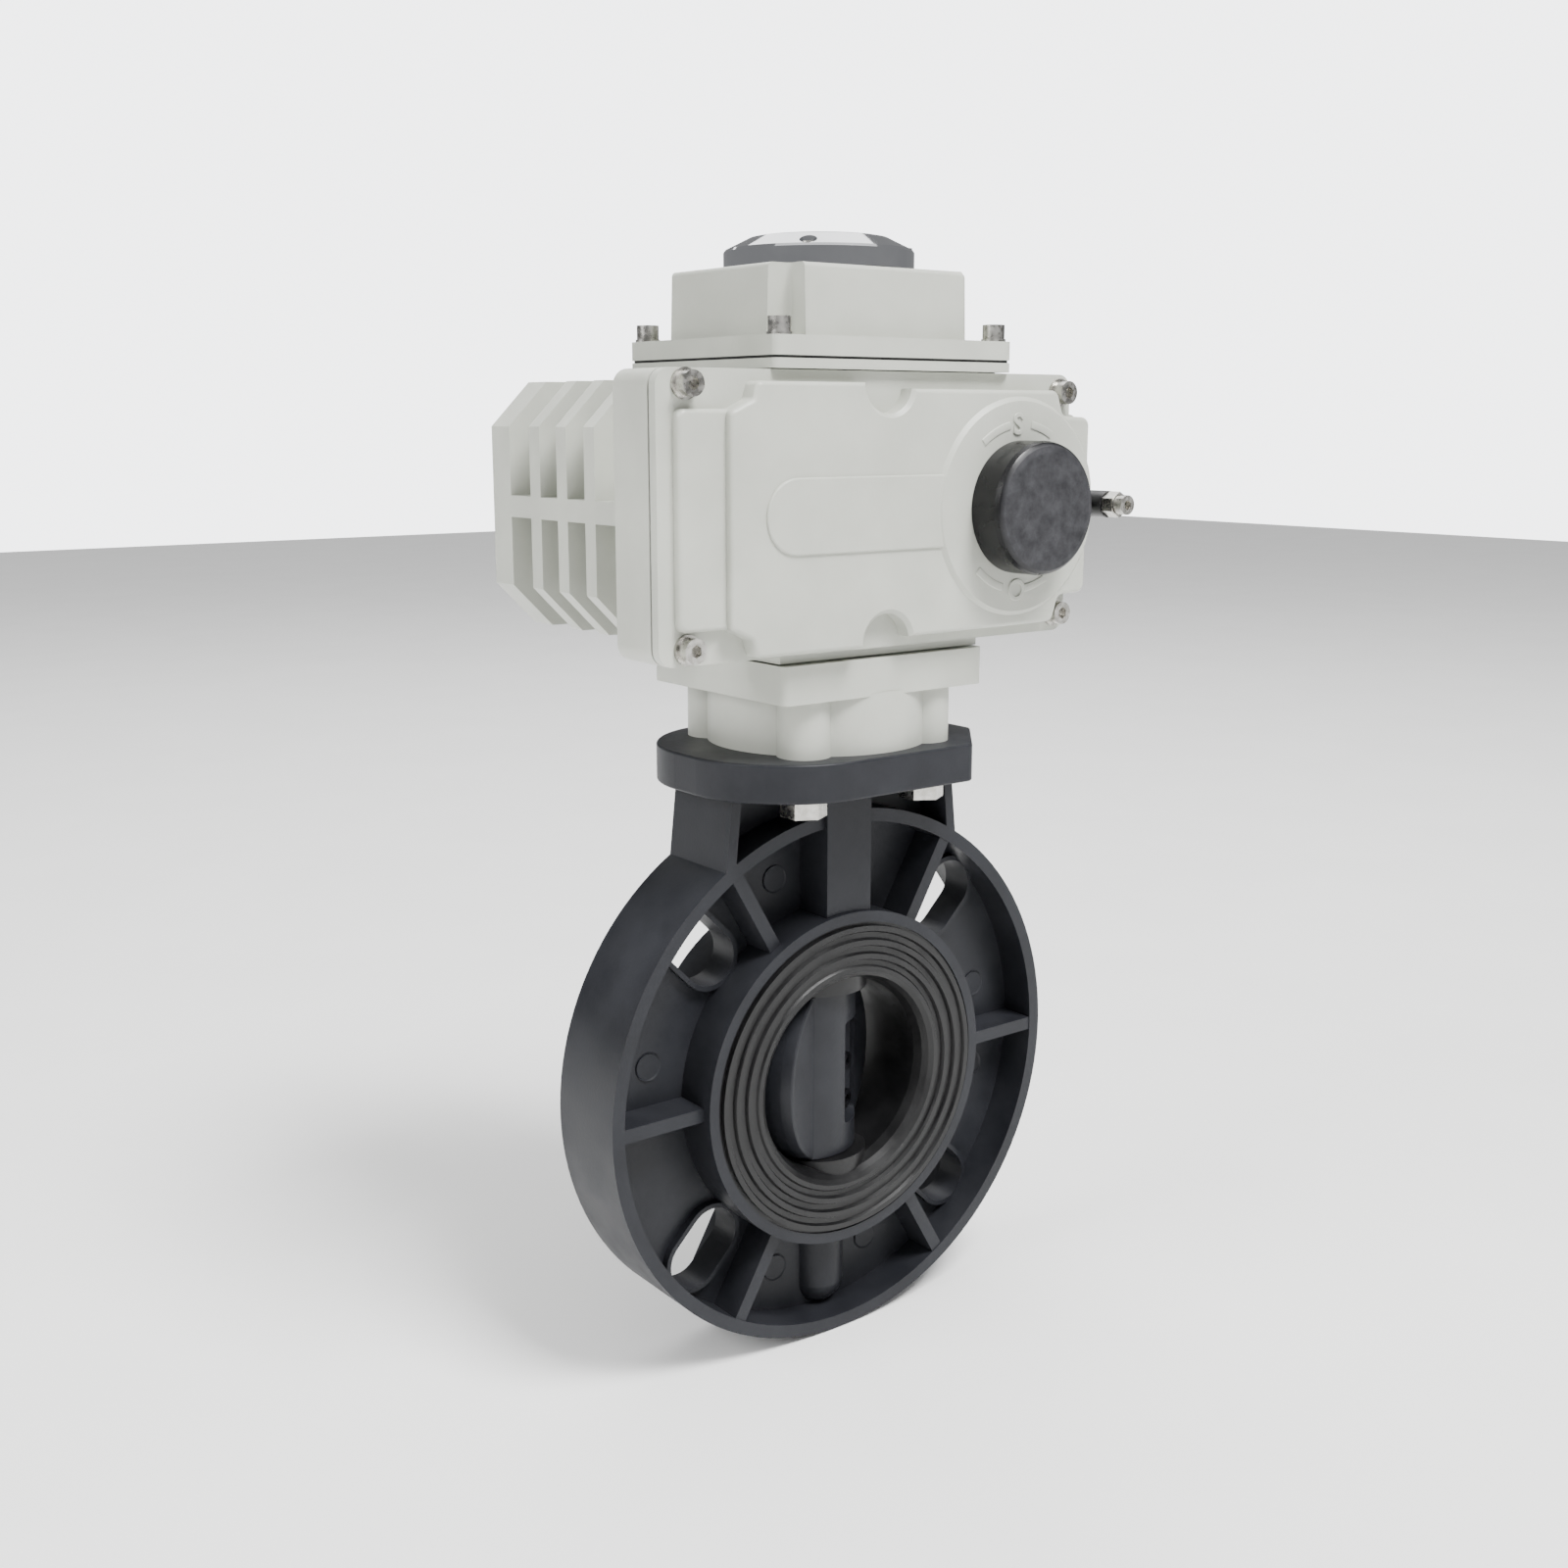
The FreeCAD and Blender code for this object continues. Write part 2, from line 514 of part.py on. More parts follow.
def octagon(half, cut, y0, y1):
    pts = [(half, half - cut), (half - cut, half), (-half + cut, half), (-half, half - cut),
           (-half, cut - half), (cut - half, -half), (half - cut, -half), (half, cut - half)]
    return prism([(COVER_X + u, y0, 190.6 + w) for u, w in pts], V(0, y1 - y0, 0))


def tie_points():
    return [(MOTOR_X + sx * TIE_XZ, AXIS_Z + sz * TIE_XZ) for sx in (-1, 1) for sz in (-1, 1)]


def motor_cover():
    """Finned casting over the motor; cut away where the gear case takes the room."""
    parts = [cyl(32.0, (MOTOR_X, -14.7, AXIS_Z), Y, 92.0)]
    for y0, y1 in ((14.0, 20.1), (30.7, 36.9), (47.4, 53.9), (67.0, 79.0)):
        parts.append(octagon(40.2, 14.4, y0, y1))
    parts.append(box(COVER_X - 40.2, COVER_X, -14.7, 70, 187.2, 194.2))
    parts.append(box(COVER_X, COVER_X + 40.2, 41.0, 70, 187.2, 194.2))
    cover = fuse(parts)
    cuts = [cyl(28.5, (MOTOR_X, -20, AXIS_Z), Y, 93.0), cyl(9.0, (MOTOR_X, 70, AXIS_Z), Y, 6.0)]
    cuts += [box(-47.0, 90, -60, 39.8, 130, 260)]
    cuts += [cyl(2.3, (x, 60, z), Y, 30) for x, z in tie_points()]
    cuts += [cyl(4.2, (x, 75.4, z), Y, 10) for x, z in tie_points()]
    return [cover.cut(Part.makeCompound(cuts)).removeSplitter()]


def motor_tie_screws():
    """Four long screws that clamp cover and stator to the motor seat of the case."""
    screws = []
    for x, z in tie_points():
        head = cyl(3.6, (x, 75.4, z), Y, 3.4).cut(hexagon(3.2, (x, 77.2, z), Y, 3.0))
        screws.append(head.fuse(cyl(1.95, (x, 33.5, z), Y, 42.0)).removeSplitter())
    return screws


# --------------------------------------------------------------- top compartment
def top_screw_points():
    return [(sx * 42.6 + 0.4, sy * 35.0 - 0.3) for sx in (-1, 1) for sy in (-1, 1)]


def top_gasket():
    pad = box(DECK[0] + 0.6, DECK[1] - 0.6, DECK[2] + 0.6, DECK[3] - 0.6, DECK_Z, 237.0)
    cuts = [box(-35.5, 36.3, -29.5, 29, 230, 240)]
    cuts += [cyl(2.1, (x, y, 230), Z, 10) for x, y in top_screw_points()]
    return [soften(pad, Z, 2).cut(Part.makeCompound(cuts))]


def top_cover():
    """Drafted block on a flange, with a pocket at each corner for its screw."""
    flange = soften(box(DECK[0], DECK[1], DECK[2], DECK[3], 237.0, 242.8), Z, 2.5)
    low = [(-39.6, -33.6), (39.9, -33.6), (39.9, 33.4), (-39.6, 33.4)]
    high = [(-38.9, -32.9), (39.2, -32.9), (39.2, 32.7), (-38.9, 32.7)]
    wires = []
    for pts, z in ((low, 242.0), (high, 264.0)):
        line = [V(x, y, z) for x, y in pts]
        wires.append(Part.makePolygon(line + [line[0]]))
    block = Part.makeLoft(wires, True, True)
    block = block.makeFillet(1.5, [e for e in block.Edges if e.BoundBox.ZMin > 263.9])
    cover = fuse([flange, block])
    pockets = []
    for sx in (-1, 1):
        for sy in (-1, 1):
            corner = box(-5, 5, -5, 5, 242.8, 270)
            corner.translate(V(sx * 36.4 + 0.2, sy * 30.4 - 0.1, 0))
            pockets.append(soften(corner, Z, 1.5))
    hollow = soften(box(-28.5, 28.5, -30, 29.7, 236, 261.0), Z, 2.0)
    side = soften(box(-36.2, 36.5, -22.5, 22.5, 236, 261.0), Z, 2.0)
    cuts = pockets + [hollow.fuse(side), cyl(7.0, (0, 0, 255), Z, 12)]
    cuts += [cyl(1.5, polar(27.0, 45 + 90 * k) + (261.4,), Z, 6) for k in range(4)]
    cuts += [cyl(2.1, (x, y, 230), Z, 15) for x, y in top_screw_points()]
    return [cover.cut(Part.makeCompound(cuts)).removeSplitter()]


def top_cover_screws():
    screws = []
    for x, y in top_screw_points():
        head = cyl(3.5, (x, y, 243.6), Z, 4.4).cut(hexagon(3.2, (x, y, 245.8), Z, 3))
        washer = cyl(3.9, (x, y, 242.8), Z, 0.8)
        screws.append(fuse([head, washer, cyl(1.95, (x, y, 233.6), Z, 10)]))
    return screws


def indicator_bezel():
    pts = [(30.2, 264.3), (30.2, 269.9), (29.6, 270.7), (22.0, 274.4), (21.2, 274.4), (21.2, 271.6),
           (23.3, 271.6), (23.3, 264.3)]
    ring_body = revolve([(r, 0, z) for r, z in pts], Z)
    holes = [cyl(1.6, polar(27.0, 45 + 90 * k) + (260,), Z, 20) for k in range(4)]
    sinks = [cyl(2.7, polar(27.0, 45 + 90 * k) + (269.4,), Z, 8) for k in range(4)]
    return [ring_body.cut(Part.makeCompound(holes + sinks))]


def indicator_window():
    pts = [(23.0, 264.3), (23.0, 271.3), (20.9, 271.3), (20.9, 274.2), (20.3, 274.7),
           (12.0, 275.1), (0, 275.2), (0, 273.6), (11.8, 273.5), (19.4, 273.1), (19.4, 271.2),
           (21.4, 270.0), (21.4, 264.3)]
    return [revolve([(r, 0, z) for r, z in pts], Z)]


def bezel_screws():
    screws = []
    for k in range(4):
        u, w = polar(27.0, 45 + 90 * k)
        head = cyl(2.5, (u, w, 269.4), Z, 1.8).cut(box(u - 3, u + 3, w - 0.4, w + 0.4, 270.4, 272))
        screws.append(head.fuse(cyl(1.5, (u, w, 261.5), Z, 8.0)).removeSplitter())
    return screws


def indicator_disc():
    dial = cyl(20.8, (0, 0, 268.2), Z, 1.4).fuse(cyl(8.0, (0, 0, 265.4), Z, 3.0))
    pointer = box(-3, 3, -19, 19, 269.4, 270.8)
    dial = fuse([dial, pointer]).cut(cyl(5.0, (0, 0, 264), Z, 4))
    dial.rotate(V(0, 0, 0), Z, DISC_OPEN)
    return [dial]


def cam_shaft():
    return [cyl(5.0, (0, 0, 190.2), Z, 77.6)]


def cam(z, deg):
    """Switch cam: a round disc with one raised lobe."""
    body = cyl(12.0, (0, 0, z), Z, 4.5)
    lobe = prism([(6, -10.0, z), (15.2, -3.4, z), (15.2, 3.4, z), (6, 10.0, z)], V(0, 0, 4.5))
    piece = body.fuse(lobe).removeSplitter()
    piece.rotate(V(0, 0, 0), Z, deg)
    return piece.cut(cyl(5.0, (0, 0, z), Z, 5))


def cams():
    return [cam(214.0, 200.0), cam(221.0, 110.0)]


def electrical_plate():
    plate = box(-43.2, 31.0, -20.2, 31.6, 206.0, 208.0)
    tongue = box(-22.2, 31.0, -27.0, -19.0, 206.0, 208.0)
    lip = box(-43.2, -41.6, -14.0, 30.0, 200.0, 208.0)
    return [fuse([plate, tongue, lip]).cut(cyl(17.0, (0, 0, 195), Z, 20))]


def limit_switches():
    switches = []
    for z in (213.0, 220.0):
        body = box(-36.0, -20.2, -14.0, 14.0, z, z + 6.4)
        lever = box(-20.2, -15.9, -1.2, 1.2, z + 1.5, z + 4.9)
        switches.append(body.fuse(lever).removeSplitter())
    return switches


def switch_bracket():
    foot = box(-36.0, -20.2, -16.4, 16.4, 208.0, 213.0)
    return [foot]


def terminal_block():
    base = box(-26.0, 26.0, 19.0, 29.0, 208.0, 220.0)
    slots = [box(x - 2.6, x + 2.6, 18.0, 30.0, 214.0, 221.0) for x in (-20, -12, -4, 4, 12, 20)]
    return [base.cut(Part.makeCompound(slots))]


def terminal_screws():
    return [cyl(2.2, (x, 24.0, 214.0), Z, 3.0) for x in (-20, -12, -4, 4, 12, 20)]


def capacitor():
    return [cyl(5.5, (-14.0, -22.5, 213.7), X, 40.0)]


# ------------------------------------------------------------------- cable entry
def hexagon_x(across, at, length):
    r = across / math.sqrt(3)
    pts = [polar(r, 60 * k + 30) for k in range(6)]
    return prism([(at[0], at[1] + u, at[2] + w) for u, w in pts], V(length, 0, 0))


def cable_gland():
    """Black nylon elbow screwed into the right wall of the gear case."""
    at = (80.0, GLAND_Y, GLAND_Z)
    leg = cyl(GLAND_R, at, X, GLAND_X - 80.0)
    nut = hexagon_x(12.4, at, 4.0)
    root = cyl(4.9, (78.2, GLAND_Y, GLAND_Z), X, 2.0)
    turn = Part.makeSphere(GLAND_R, V(GLAND_X, GLAND_Y, GLAND_Z))
    out = cyl(GLAND_R, (GLAND_X, -36.0, GLAND_Z), Y, GLAND_Y + 36.0)
    return [fuse([leg, nut, root, turn, out])]


def gland_nut():
    return [hexagon(7.6, (GLAND_X, -41.0, GLAND_Z), Y, 4.7)]


def blanking_screw():
    head = cyl(3.3, (GLAND_X, -44.6, GLAND_Z), Y, 3.3)
    return [head.cut(hexagon(3.0, (GLAND_X, -44.7, GLAND_Z), Y, 2.6))]


PARTS = [
    ("valve_body", lambda: [valve_body()]), ("valve_seat", lambda: [valve_seat()]),
    ("stem_bushes", stem_bushes), ("stem", stem), ("disc", disc), ("disc_screws", disc_screws),
    ("flange_bolts", flange_bolts), ("mounting_base", mounting_base), ("base_screws", base_screws),
    ("output_bushes", output_bushes), ("housing", housing), ("front_gasket", front_gasket),
    ("front_cover", front_cover), ("front_cover_screws", front_cover_screws),
    ("manual_cap", manual_cap), ("worm_wheel", worm_wheel), ("output_sleeve", output_sleeve),
    ("worm_shaft", worm_shaft), ("worm_gear", worm_gear), ("idler_gear", idler_gear),
    ("idler_pin", idler_pin), ("worm_bearings", worm_bearings), ("motor_shaft", motor_shaft),
    ("rotor", rotor), ("stator", stator), ("windings", windings),
    ("motor_bearings", motor_bearings), ("pinion_bracket", pinion_bracket),
    ("motor_cover", motor_cover), ("motor_tie_screws", motor_tie_screws),
    ("top_gasket", top_gasket), ("top_cover", top_cover), ("top_cover_screws", top_cover_screws),
    ("indicator_bezel", indicator_bezel), ("indicator_window", indicator_window),
    ("bezel_screws", bezel_screws), ("indicator_disc", indicator_disc), ("cam_shaft", cam_shaft),
    ("cams", cams), ("electrical_plate", electrical_plate), ("limit_switches", limit_switches),
    ("switch_bracket", switch_bracket), ("terminal_block", terminal_block),
    ("terminal_screws", terminal_screws), ("capacitor", capacitor), ("cable_gland", cable_gland),
    ("gland_nut", gland_nut), ("blanking_screw", blanking_screw),
]

os.makedirs("parts", exist_ok=True)
for name, make in PARTS:
    shapes = make()
    save(name, shapes)
    print(name, len(shapes), all(s.isValid() for s in shapes), [len(s.Solids) for s in shapes][:4],
          round(sum(s.Volume for s in shapes)))
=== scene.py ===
import math

import bpy
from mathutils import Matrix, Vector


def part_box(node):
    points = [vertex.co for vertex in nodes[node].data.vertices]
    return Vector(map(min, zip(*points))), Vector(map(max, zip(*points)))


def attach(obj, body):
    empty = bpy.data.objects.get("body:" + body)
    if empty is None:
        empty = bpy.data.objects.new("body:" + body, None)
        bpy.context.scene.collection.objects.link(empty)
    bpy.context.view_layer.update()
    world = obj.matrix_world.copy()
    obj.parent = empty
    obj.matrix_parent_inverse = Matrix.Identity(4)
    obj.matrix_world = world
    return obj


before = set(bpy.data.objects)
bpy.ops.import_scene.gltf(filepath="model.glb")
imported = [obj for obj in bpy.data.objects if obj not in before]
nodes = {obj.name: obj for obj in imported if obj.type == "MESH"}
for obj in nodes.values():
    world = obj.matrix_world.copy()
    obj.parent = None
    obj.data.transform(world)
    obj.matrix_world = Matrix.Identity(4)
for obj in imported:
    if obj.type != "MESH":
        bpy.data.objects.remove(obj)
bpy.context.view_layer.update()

# ---- Camera ----
# It stands to the left of the gear cover, just above the middle of the actuator,
# and looks a little down on the valve, level and without shift.
turn, drop = math.radians(37.22), math.radians(11.75)
camera_data = bpy.data.cameras.new("camera")
camera_data.lens = 40.47
camera_data.sensor_width = 36.0
camera = bpy.data.objects.new("camera", camera_data)
bpy.context.scene.collection.objects.link(camera)
camera.location = (-0.3594, -0.4550, 0.2193)
camera.rotation_euler = (math.pi / 2 - drop, 0, -turn)
bpy.context.scene.camera = camera


# ---- Floor and light ----
# White backdrop paper under the rim of the valve in a pale, dim room, lit softly
# from above, by cloth-covered lamps in front and at the left, and by a card behind.
def linear(colour):
    """sRGB hex as the linear red, green, blue and alpha that a shader takes."""
    parts = [int(colour[i:i + 2], 16) / 255 for i in (1, 3, 5)]
    return [p / 12.92 if p <= 0.04045 else ((p + 0.055) / 1.055) ** 2.4 for p in parts] + [1]


def add(tree, kind, settings, **links):
    """Adds a node, sets its options or inputs, and links the named inputs."""
    made = tree.nodes.new(kind)
    for name, value in settings.items():
        if isinstance(name, str) and hasattr(made, name):
            setattr(made, name, value)
        else:
            made.inputs[name].default_value = value
    for name, source in links.items():
        tree.links.new(source, made.inputs[name.replace("_", " ")])
    return made


def ramp_stops(ramp, positions, colours):
    """Puts the two ends of a colour ramp at these positions, in these sRGB colours."""
    for stop, position, colour in zip(ramp.color_ramp.elements, positions, colours):
        stop.position = position
        stop.color = linear(colour)


def surface(name, dark, light, gloss, patch_mm, grain_mm, depth_mm, metallic=0, sheen=0.5):
    """Material whose tone and gloss drift in patches, with a fine grain in relief.
    gloss is the lowest and highest roughness; sizes are those of the real surface."""
    made = bpy.data.materials.new(name)
    made.use_nodes = True
    tree = made.node_tree
    shader = tree.nodes["Principled BSDF"]
    shader.inputs["Metallic"].default_value = metallic
    shader.inputs["Specular IOR Level"].default_value = sheen
    place = add(tree, "ShaderNodeTexCoord", {}).outputs["Object"]
    patches = add(tree, "ShaderNodeTexNoise", {"Scale": 1000 / patch_mm, "Detail": 4},
                  Vector=place)
    tone = add(tree, "ShaderNodeValToRGB", {}, Fac=patches.outputs["Fac"])
    ramp_stops(tone, (0.36, 0.64), (dark, light))
    rough = add(tree, "ShaderNodeMapRange",
                {"From Min": 0.35, "From Max": 0.65, "To Min": gloss[0], "To Max": gloss[1]},
                Value=patches.outputs["Fac"])
    grain = add(tree, "ShaderNodeTexNoise", {"Scale": 1000 / grain_mm, "Detail": 3}, Vector=place)
    relief = add(tree, "ShaderNodeBump", {"Distance": depth_mm / 1000},
                 Height=grain.outputs["Fac"])
    tree.links.new(tone.outputs["Color"], shader.inputs["Base Color"])
    tree.links.new(rough.outputs["Result"], shader.inputs["Roughness"])
    tree.links.new(relief.outputs["Normal"], shader.inputs["Normal"])
    return made


def dress(material, *names):
    """Gives the named CAD pieces this one material."""
    for name in names:
        nodes[name].data.materials.clear()
        nodes[name].data.materials.append(material)


rim_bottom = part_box("valve_body")[0][2]
floor_gap = 0.0004
bpy.ops.object.select_all(action="DESELECT")
bpy.ops.mesh.primitive_plane_add(size=8.0, location=(0, 0, rim_bottom - floor_gap))
floor = bpy.context.object
floor.name = "floor"
floor.data.materials.append(surface("white backdrop paper, matt", "#F6F6F5", "#F8F8F7",
                                    gloss=(0.9, 0.95), patch_mm=90, grain_mm=0.6, depth_mm=0.02))

room = bpy.data.worlds.new("pale studio room")
room.use_nodes = True
room_tree = room.node_tree
room_light, backdrop_white = 0.28, 4.5
seen = add(room_tree, "ShaderNodeLightPath", {}).outputs["Is Camera Ray"]
glow = add(room_tree, "ShaderNodeMapRange", {"To Min": room_light, "To Max": backdrop_white},
           Value=seen)
room_tree.nodes["Background"].inputs["Color"].default_value = (0.97, 0.98, 1.0, 1)
room_tree.links.new(glow.outputs["Result"], room_tree.nodes["Background"].inputs["Strength"])
bpy.context.scene.world = room

skylight_data = bpy.data.lights.new("even light from above", "SUN")
skylight_data.energy = 1.5
skylight_data.angle = 1.6
skylight = bpy.data.objects.new("even light from above", skylight_data)
bpy.context.scene.collection.objects.link(skylight)
skylight.rotation_euler = (math.radians(24), math.radians(-8), 0)
lit_point = (0, 0, 0.12)
for name, place, width, power in (("lamp in front", (0.2, -1.05, 1.85), 0.7, 90),
                                  ("lamp at the left", (-1.55, 0.1, 0.95), 0.8, 22),
                                  ("card behind and above", (0.5, 1.05, 1.55), 1.3, 14)):
    lamp_data = bpy.data.lights.new(name, "AREA")
    lamp_data.shape = "SQUARE"
    lamp_data.size = width
    lamp_data.energy = power
    lamp = bpy.data.objects.new(name, lamp_data)
    bpy.context.scene.collection.objects.link(lamp)
    lamp.location = place
    aim = [goal - start for goal, start in zip(lit_point, place)]
    rise = math.atan2(aim[2], math.hypot(aim[0], aim[1]))
    lamp.rotation_euler = (math.pi / 2 + rise, 0, math.atan2(-aim[0], aim[1]))

# ---- Valve body ----
# Wafer body, one injection moulding in dark blue-grey unplasticised PVC:
# satin skin with faint flow patches, shallow ejector-pin marks on the web.
upvc = surface("moulded unplasticised PVC, satin", "#1D1E22", "#26272B",
               gloss=(0.36, 0.5), patch_mm=22, grain_mm=0.9, depth_mm=0.03, sheen=0.2)
dress(upvc, "valve_body", "disc")

web_front = -0.003
mark_radius, mark_circle, mark_height = 0.0047, 0.0725, 0.0009
marks = []
for angle in (12.4, 167.6, 106.2, 253.8, 286.2, 347.6):
    bpy.ops.object.select_all(action="DESELECT")
    x = mark_circle * math.cos(math.radians(angle))
    z = mark_circle * math.sin(math.radians(angle))
    bpy.ops.mesh.primitive_cylinder_add(vertices=48, radius=mark_radius, depth=mark_height,
                                        location=(x, web_front, z), rotation=(math.pi / 2, 0, 0))
    mark = bpy.context.object
    bpy.ops.object.transform_apply(location=True, rotation=True, scale=True)
    bpy.ops.object.mode_set(mode="EDIT")
    bpy.ops.mesh.select_mode(type="FACE")
    bpy.ops.mesh.select_all(action="DESELECT")
    bpy.ops.object.mode_set(mode="OBJECT")
    for face in mark.data.polygons:
        face.select = face.normal.y < -0.9
    bpy.ops.object.mode_set(mode="EDIT")
    bpy.ops.mesh.inset(thickness=0.0005)
    bpy.ops.transform.translate(value=(0, 0.0003, 0))
    bpy.ops.mesh.inset(thickness=0.0004)
    bpy.ops.object.mode_set(mode="OBJECT")
    marks.append(mark)
bpy.ops.object.select_all(action="DESELECT")
for mark in marks:
    mark.select_set(True)
bpy.context.view_layer.objects.active = marks[0]
bpy.ops.object.join()
ejector_marks = bpy.context.object
ejector_marks.name = "ejector_marks"
ejector_marks.data.materials.append(upvc)
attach(ejector_marks, "frame")

# ---- Seat ----
# Moulded EPDM liner with stepped sealing ridges on both pipe faces, pressed
# into the hub; matt black with a faint bloom on the ridges.
dress(surface("moulded EPDM rubber, matt", "#0B0B0C", "#111112", gloss=(0.34, 0.5),
              patch_mm=9, grain_mm=0.5, depth_mm=0.03, sheen=0.35), "valve_seat")

# ---- Stem, bushes, disc screws and head bolts ----
# Stem turned from stainless bar in moulded acetal bushes; socket screws and
# hexagon bolts cold-headed in stainless steel, slightly mottled; the disc
# screws are coloured near black and given a rougher finish.
stainless = surface("bright stainless steel, cold-headed", "#A9A7A1", "#CFCDC8",
                    gloss=(0.2, 0.36), patch_mm=2.5, grain_mm=0.3, depth_mm=0.01, metallic=1)
dress(stainless, "stem", "flange_bolts", "front_cover_screws", "top_cover_screws",
      "bezel_screws", "gland_nut", "blanking_screw")
# Disc screws: near-black steel colour, rougher than the other screws.
dress(surface("stainless steel, near black, dull", "#232326", "#34343A", gloss=(0.35, 0.5),
              patch_mm=3, grain_mm=0.3, depth_mm=0.01, metallic=1), "disc_screws")
dress(surface("natural acetal, moulded", "#DAD7CB", "#E6E3D8", gloss=(0.35, 0.5),
              patch_mm=8, grain_mm=0.6, depth_mm=0.02), "stem_bushes")

# ---- Mounting base, gear case and covers ----
# Aluminium die castings under one warm light-grey powder coat: a fine orange
# peel, with the slow waviness that the thick film leaves on wide faces.
coat = surface("powder coat, light warm grey", "#AFB1A8", "#B8BAB1",
               gloss=(0.36, 0.46), patch_mm=30, grain_mm=1.3, depth_mm=0.05)
dress(coat, "mounting_base", "housing", "front_cover", "motor_cover", "top_cover")
coat_tree = coat.node_tree
coat_place = coat_tree.nodes["Texture Coordinate"].outputs["Object"]
swells_per_metre = 110
swell = add(coat_tree, "ShaderNodeTexNoise", {"Scale": swells_per_metre, "Detail": 1},
            Vector=coat_place)
fine_relief = coat_tree.nodes["Bump"].outputs["Normal"]
wavy = add(coat_tree, "ShaderNodeBump", {"Distance": 0.0004, "Strength": 0.35},
           Height=swell.outputs["Fac"], Normal=fine_relief)
coat_tree.links.new(wavy.outputs["Normal"], coat_tree.nodes["Principled BSDF"].inputs["Normal"])

# ---- Direction marks on the cover ----
# Shut and open marks cast into the boss round the hand drive: a letter above,
# a letter below, and a curved bar on both sides of each.
drive_x, drive_z = 0.0476, 0.191
boss_front = -0.0443
letter_size, letter_relief = 0.0092, 0.0004
raised = []
for letter, x, z in (("S", -0.0017, 0.0259), ("O", -0.0006, -0.0268)):
    bpy.ops.object.select_all(action="DESELECT")
    bpy.ops.object.text_add(rotation=(math.pi / 2, 0, 0))
    mark = bpy.context.object
    mark.data.body = letter
    mark.data.align_x = "CENTER"
    mark.data.align_y = "CENTER"
    mark.data.size = letter_size
    mark.data.extrude = letter_relief
    mark.data.bevel_depth = 0.00022
    mark.data.bevel_resolution = 2
    mark.data.offset = 0.00008
    bpy.ops.object.convert(target="MESH")
    mark = bpy.context.object
    mark.location = (drive_x + x, boss_front, drive_z + z)
    bpy.ops.object.transform_apply(location=True, rotation=True, scale=True)
    raised.append(mark)
bar_circle, bar_width, bar_height = 0.0262, 0.0026, 0.0009
for start, end in ((62, 84), (105, 133), (231, 259), (279, 301)):
    bpy.ops.object.select_all(action="DESELECT")
    bpy.ops.mesh.primitive_plane_add(size=1)
    bar = bpy.context.object
    bar.scale = (bar_width, bar_height, 1)
    bar.location = (bar_circle, 0, 0)
    bpy.ops.object.transform_apply(location=True, rotation=True, scale=True)
    bpy.ops.object.mode_set(mode="EDIT")
    bpy.ops.mesh.select_all(action="SELECT")
    bpy.ops.transform.rotate(value=math.radians(-start), orient_axis="Y",
                             center_override=(0, 0, 0))
    bpy.ops.mesh.spin(steps=18, angle=math.radians(end - start), center=(0, 0, 0),
                      axis=(0, -1, 0))
    bpy.ops.mesh.select_all(action="SELECT")
    bpy.ops.mesh.normals_make_consistent(inside=False)
    bpy.ops.object.mode_set(mode="OBJECT")
    bar.location = (drive_x, boss_front, drive_z)
    bpy.ops.object.transform_apply(location=True, rotation=True, scale=True)
    soft = bar.modifiers.new("soft edge", "BEVEL")
    soft.width = 0.00035
    soft.segments = 3
    bpy.ops.object.modifier_apply(modifier=soft.name)
    raised.append(bar)
bpy.ops.object.select_all(action="DESELECT")
for mark in raised:
    mark.select_set(True)
bpy.context.view_layer.objects.active = raised[0]
bpy.ops.object.join()
direction_marks = bpy.context.object
direction_marks.name = "direction_marks"
bpy.ops.object.shade_smooth_by_angle(angle=math.radians(35))
direction_marks.data.materials.clear()
direction_marks.data.materials.append(coat)
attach(direction_marks, "frame")

# ---- Gaskets ----
# Sheet EPDM, cut to the joints; only its dark edge shows as a thin line.
dress(surface("black gasket sheet, cut edge", "#121213", "#1A1A1B", gloss=(0.6, 0.75),
              patch_mm=5, grain_mm=0.4, depth_mm=0.02), "front_gasket", "top_gasket")

# ---- Hand-drive cap ----
# Black rubber cap, shiny at its side; its front is rubbed grey by thumbs,
# with small scuffs and specks.
cap_skin = surface("black rubber, thumb-worn at the front", "#0E0E10", "#151517",
                   gloss=(0.22, 0.34), patch_mm=12, grain_mm=0.5, depth_mm=0.02, sheen=0.25)
dress(cap_skin, "manual_cap")
cap_tree = cap_skin.node_tree
cap_shader = cap_tree.nodes["Principled BSDF"]
cap_place = cap_tree.nodes["Texture Coordinate"].outputs["Object"]
cap_tone = cap_tree.nodes["Color Ramp"].outputs["Color"]
cap_rough = cap_tree.nodes["Map Range"].outputs["Result"]
cap_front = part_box("manual_cap")[0][1]
depth = add(cap_tree, "ShaderNodeSeparateXYZ", {}, Vector=cap_place).outputs["Y"]
wear_start, wear_full = cap_front + 0.0016, cap_front + 0.0004
face = add(cap_tree, "ShaderNodeMapRange", {"From Min": wear_start, "From Max": wear_full},
           Value=depth).outputs["Result"]
scuffs = add(cap_tree, "ShaderNodeTexNoise", {"Scale": 190, "Detail": 8, "Roughness": 0.62},
             Vector=cap_place)
worn = add(cap_tree, "ShaderNodeValToRGB", {}, Fac=scuffs.outputs["Fac"])
ramp_stops(worn, (0.34, 0.72), ("#202023", "#3C3C3F"))
rubbed = add(cap_tree, "ShaderNodeMix", {"data_type": "RGBA"}, Factor=face)
cap_tree.links.new(cap_tone, rubbed.inputs[6])
cap_tree.links.new(worn.outputs["Color"], rubbed.inputs[7])
cap_tree.links.new(rubbed.outputs[2], cap_shader.inputs["Base Color"])
